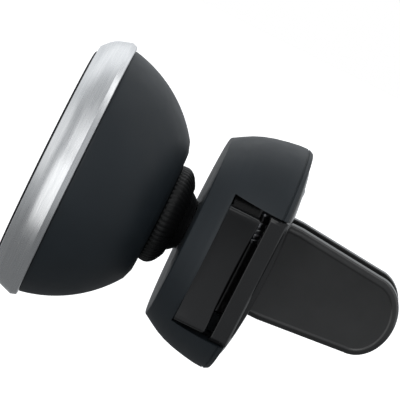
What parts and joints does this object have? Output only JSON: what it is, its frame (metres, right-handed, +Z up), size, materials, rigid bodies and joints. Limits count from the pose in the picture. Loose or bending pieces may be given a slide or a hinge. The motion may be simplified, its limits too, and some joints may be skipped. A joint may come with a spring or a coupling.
{
  "type": "car phone mount",
  "caption": "Magnetic phone mount for a car: round magnetic head on a ball joint, and a domed base whose sprung jaws clip to an air vent blade.",
  "frame": {"origin": "mouth of the gap between the jaws, on the mount's axis, at the crown of the back cover", "axes": "+Y along the common axis into the vent, -Y towards the user, +Z up, and the jaws lie side by side along X"},
  "size_m": [0.044, 0.0615, 0.044],
  "materials": {
    "soft_touch_black": "soft-touch matt",
    "gloss_black": "gloss moulded",
    "satin_silver": "satin, fine circular brushing",
    "rubber": "matt",
    "inner_plastic": "as moulded",
    "zinc_steel": "zinc plated",
    "nickel": "nickel plated"
  },
  "bodies": {
    "base": {"front_housing": "soft_touch_black", "back_cover": "gloss_black", "cover_screw_1": "zinc_steel", "cover_screw_2": "zinc_steel", "cover_screw_3": "zinc_steel", "cover_screw_4": "zinc_steel", "right_pivot_pin": "zinc_steel", "left_pivot_pin": "zinc_steel"},
    "stud": {"ball_stud": "gloss_black", "stud_nut": "zinc_steel", "stud_washer": "zinc_steel"},
    "ball_pad": {"friction_pad": "rubber"},
    "head": {"head_shell": "soft_touch_black", "trim_ring": "satin_silver", "face_pad": "rubber", "magnet_carrier": "inner_plastic", "magnet_1": "nickel", "magnet_2": "nickel", "magnet_3": "nickel", "magnet_4": "nickel", "magnet_5": "nickel", "magnet_6": "nickel", "yoke_plate": "zinc_steel", "ball_socket": "inner_plastic", "socket_screw_1": "zinc_steel", "socket_screw_2": "zinc_steel", "socket_screw_3": "zinc_steel"},
    "collar": {"collar_nut": "soft_touch_black"},
    "right_lever": {"right_jaw": "gloss_black", "right_grip_pad": "rubber", "right_spring": "zinc_steel"},
    "left_lever": {"left_jaw": "gloss_black", "left_grip_pad": "rubber", "left_spring": "zinc_steel"},
    "right_tab": {"right_button": "gloss_black"},
    "left_tab": {"left_button": "gloss_black"}
  },
  "joints": [
    {"name": "stud_swivel", "type": "hinge", "parent": "base", "child": "stud", "pos_m": [0, -0.01906, 0], "axis": [0, 1, 0], "continuous": true},
    {"name": "ball_tilt", "type": "hinge", "parent": "stud", "child": "ball_pad", "pos_m": [0, -0.01906, 0], "axis": [1, 0, 0], "range_deg": [-15, 15]},
    {"name": "head_spin", "type": "hinge", "parent": "ball_pad", "child": "head", "pos_m": [0, -0.01906, 0], "axis": [0, 1, 0], "continuous": true},
    {"name": "collar_turn", "type": "hinge", "parent": "head", "child": "collar", "pos_m": [0, -0.01906, 0], "axis": [0, 1, 0], "range_deg": [0, 90]},
    {"name": "right_jaw_open", "type": "hinge", "parent": "base", "child": "right_lever", "pos_m": [0.0055, -0.0046, 0], "axis": [0, 0, -1], "range_deg": [0, 12], "stiffness_Nm_per_rad": 0.08},
    {"name": "left_jaw_open", "type": "hinge", "parent": "base", "child": "left_lever", "pos_m": [-0.0055, -0.0046, 0], "axis": [0, 0, 1], "range_deg": [0, 12], "stiffness_Nm_per_rad": 0.08},
    {"name": "right_button_press", "type": "slide", "parent": "base", "child": "right_tab", "axis": [-1, 0, 0], "range_m": [0, 0.00104]},
    {"name": "left_button_press", "type": "slide", "parent": "base", "child": "left_tab", "axis": [1, 0, 0], "range_m": [0, 0.00104]}
  ],
  "couplings": [
    {"joint": "right_jaw_open", "follows": "right_button_press", "rad_per_m": 200},
    {"joint": "left_jaw_open", "follows": "left_button_press", "rad_per_m": 200}
  ]
}
